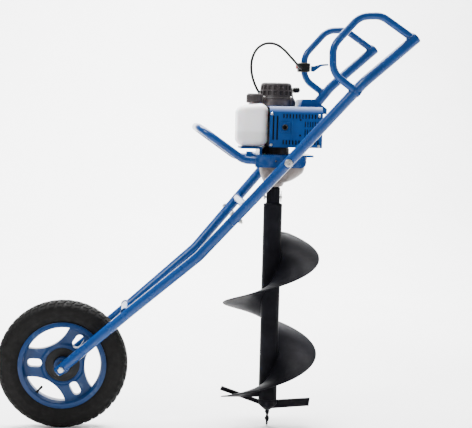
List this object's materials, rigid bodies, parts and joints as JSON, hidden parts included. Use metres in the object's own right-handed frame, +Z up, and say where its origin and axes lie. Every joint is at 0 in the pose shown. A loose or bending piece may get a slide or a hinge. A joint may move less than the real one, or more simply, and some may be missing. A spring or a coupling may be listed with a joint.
{
  "type": "petrol earth auger",
  "caption": "Petrol earth auger on a one-wheel push frame with looped handles, a tilting engine carriage, gear-driven vertical screw bit and a guard bar.",
  "frame": {"origin": "centre of the bounding box in plan, at ground level", "axes": "+X from the wheel towards the handles, +Y towards the operator's right-hand side, +Z up"},
  "size_m": [1.2535, 0.546, 1.3167],
  "materials": {
    "blue_paint": "gloss blue paint",
    "rim_paint": "satin blue paint",
    "blue_plastic": "moulded blue plastic",
    "tyre_rubber": "black tread rubber",
    "zinc_steel": "zinc plated",
    "dark_steel": "oiled steel",
    "black_enamel": "semi-gloss black enamel",
    "cast_aluminium": "as cast",
    "grey_plastic": "moulded grey plastic",
    "tank_plastic": "translucent white plastic",
    "black_plastic": "moulded black plastic",
    "red_plastic": "moulded red plastic",
    "cable_rubber": "black cable sheath"
  },
  "bodies": {
    "frame": {"lower_arm_left": "blue_paint", "lower_arm_right": "blue_paint", "upper_arm_left": "blue_paint", "upper_arm_right": "blue_paint", "handle_loop_left": "blue_paint", "handle_loop_right": "blue_paint", "end_plug_left": "black_plastic", "end_plug_right": "black_plastic", "sleeve_bolt_left": "zinc_steel", "sleeve_bolt_right": "zinc_steel", "pivot_bolt_left": "zinc_steel", "pivot_bolt_right": "zinc_steel", "lower_cross_tube": "blue_paint", "upper_cross_tube": "blue_paint", "axle_bolt": "zinc_steel", "throttle_body": "black_plastic", "throttle_cable": "cable_rubber"},
    "wheel": {"tyre": "tyre_rubber", "wheel_rim": "rim_paint", "wheel_bearing_left": "dark_steel", "wheel_bearing_right": "dark_steel", "hub_cover_left": "black_plastic", "hub_cover_right": "black_plastic", "valve_stem": "black_plastic"},
    "carriage": {"mount_rail_left": "blue_paint", "mount_rail_right": "blue_paint", "guard_bar": "blue_paint", "mount_plate": "blue_paint", "gearbox_case": "cast_aluminium", "gearbox_cover": "cast_aluminium", "clutch_housing": "grey_plastic", "crankcase": "cast_aluminium", "cylinder": "cast_aluminium", "spark_plug": "zinc_steel", "plug_cap": "black_plastic", "muffler": "dark_steel", "engine_shroud": "blue_plastic", "fan_housing": "cast_aluminium", "starter_housing": "grey_plastic", "fuel_tank": "tank_plastic", "carburettor": "cast_aluminium", "air_filter_cover": "black_plastic"},
    "auger": {"output_shaft": "dark_steel", "output_gear": "dark_steel", "bit_tube": "black_enamel", "coupling_pin": "zinc_steel", "flighting": "black_enamel", "cutting_head": "black_enamel", "centre_point": "black_enamel"},
    "layshaft": {"layshaft": "dark_steel", "layshaft_wheel": "dark_steel"},
    "crank": {"crankshaft": "dark_steel", "flywheel": "cast_aluminium"},
    "pulley": {"recoil_pulley": "black_plastic"},
    "starter_pull": {"starter_cord": "cable_rubber", "starter_handle": "black_plastic"},
    "fuel_cap": {"fuel_cap": "grey_plastic"},
    "choke_lever": {"choke_lever": "black_plastic"},
    "throttle_lever": {"throttle_lever": "blue_plastic"},
    "stop_switch": {"stop_switch": "red_plastic"}
  },
  "joints": [
    {"name": "wheel_spin", "type": "hinge", "parent": "frame", "child": "wheel", "pos_m": [-0.42075, 0, 0.206], "axis": [0, 1, 0], "continuous": true},
    {"name": "carriage_tilt", "type": "hinge", "parent": "frame", "child": "carriage", "pos_m": [0.25825, 0, 0.869], "axis": [0, -1, 0], "range_deg": [-8, 40], "deforming": ["throttle_cable"]},
    {"name": "auger_spin", "type": "hinge", "parent": "carriage", "child": "auger", "pos_m": [0.24125, 0, 0.75], "axis": [0, 0, 1], "continuous": true},
    {"name": "layshaft_spin", "type": "hinge", "parent": "carriage", "child": "layshaft", "pos_m": [0.28925, 0, 0.85], "axis": [0, 0, 1], "continuous": true},
    {"name": "crank_spin", "type": "hinge", "parent": "carriage", "child": "crank", "pos_m": [0.24125, 0, 0.975], "axis": [0, 0, 1], "continuous": true},
    {"name": "starter_slide", "type": "slide", "parent": "carriage", "child": "starter_pull", "axis": [1, 0, 0], "range_m": [0, 0.05], "stiffness_N_per_m": 40, "springref_m": -0.05},
    {"name": "pulley_spin", "type": "hinge", "parent": "carriage", "child": "pulley", "pos_m": [0.24125, 0, 1.092], "axis": [0, 0, 1], "range_deg": [-115, 2]},
    {"name": "fuel_cap_turn", "type": "hinge", "parent": "carriage", "child": "fuel_cap", "pos_m": [0.16675, -0.052, 1.06], "axis": [0, 0, 1], "range_deg": [0, 270]},
    {"name": "choke_turn", "type": "hinge", "parent": "carriage", "child": "choke_lever", "pos_m": [0.30525, 0.064, 0.973], "axis": [-1, 0, 0], "range_deg": [0, 38]},
    {"name": "throttle_squeeze", "type": "hinge", "parent": "frame", "child": "throttle_lever", "pos_m": [0.39725, 0.252, 1.172], "axis": [0, 1, 0], "range_deg": [0, 20], "stiffness_Nm_per_rad": 0.1, "springref_deg": -8.59},
    {"name": "stop_switch_slide", "type": "slide", "parent": "frame", "child": "stop_switch", "axis": [0, 0, -1], "range_m": [0, 0.004]}
  ],
  "couplings": [
    {"joint": "layshaft_spin", "follows": "auger_spin", "ratio": -4},
    {"joint": "crank_spin", "follows": "auger_spin", "ratio": 20},
    {"joint": "pulley_spin", "follows": "starter_slide", "rad_per_m": -38}
  ]
}
